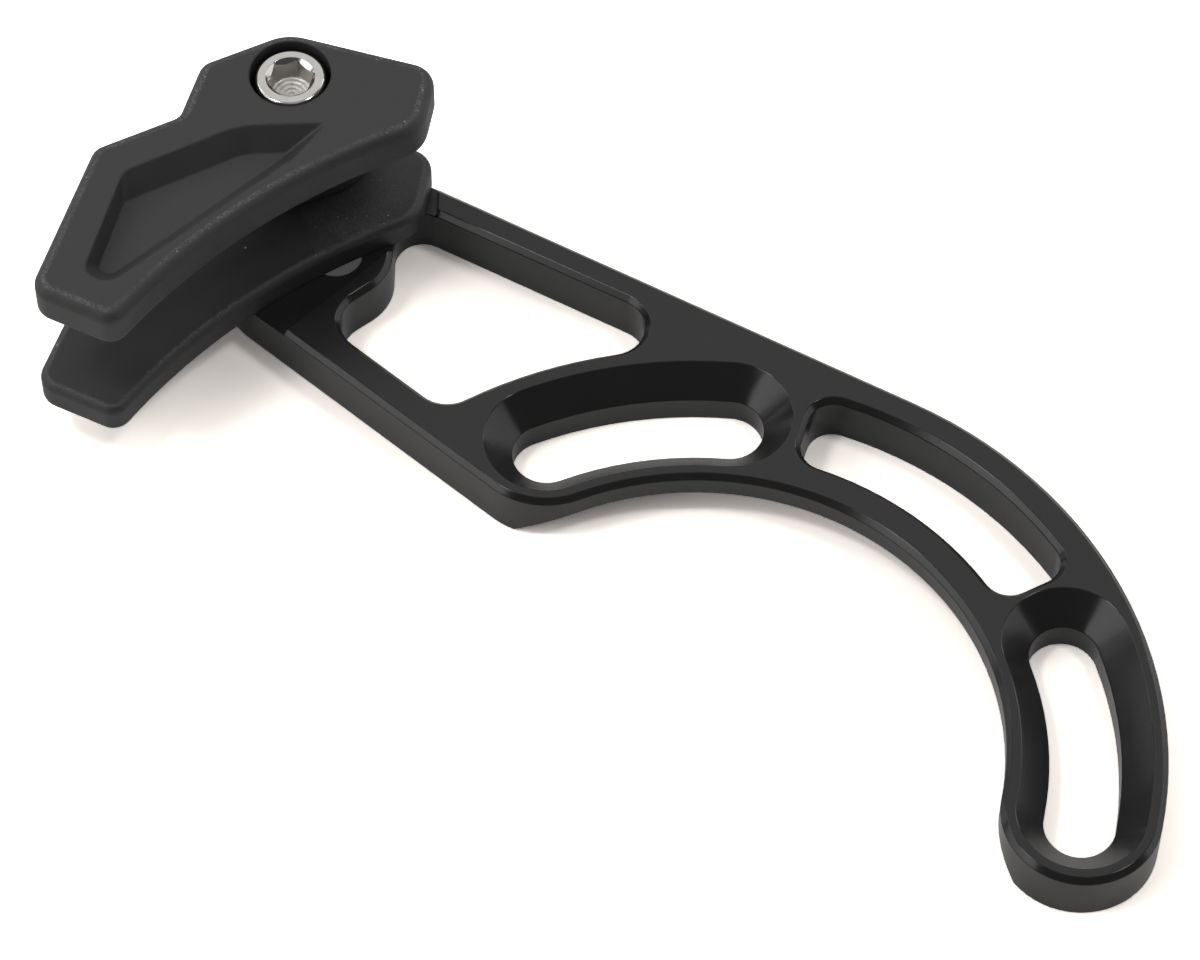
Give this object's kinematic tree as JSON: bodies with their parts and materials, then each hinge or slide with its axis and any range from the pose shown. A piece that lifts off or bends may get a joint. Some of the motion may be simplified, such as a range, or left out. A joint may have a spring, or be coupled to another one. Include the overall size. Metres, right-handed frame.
{
  "type": "bicycle chain guide",
  "caption": "Hooked plate that bolts to a bicycle frame around the crank and holds nylon cheeks on either side of the chain, with a slot that sets their height.",
  "frame": {"origin": "the crank axis on the back face of the plate", "axes": "+Z along the crank axis, out from the bicycle frame; +Y up towards the guide"},
  "size_m": [0.1083, 0.0911, 0.0231],
  "materials": {
    "black_aluminium": "satin black anodised",
    "black_nylon": "fine matte grain",
    "bright_steel": "bright plated",
    "nut_steel": "zinc plated"
  },
  "bodies": {
    "base": {"back_plate": "black_aluminium"},
    "guide_head": {"inner_cheek": "black_nylon", "outer_cheek": "black_nylon", "guide_bolt": "bright_steel", "slot_nut": "nut_steel"}
  },
  "joints": [
    {"name": "height_slide", "type": "slide", "parent": "base", "child": "guide_head", "axis": [-0.4123, 0.911, 0], "range_m": [0, 0.00404]}
  ]
}
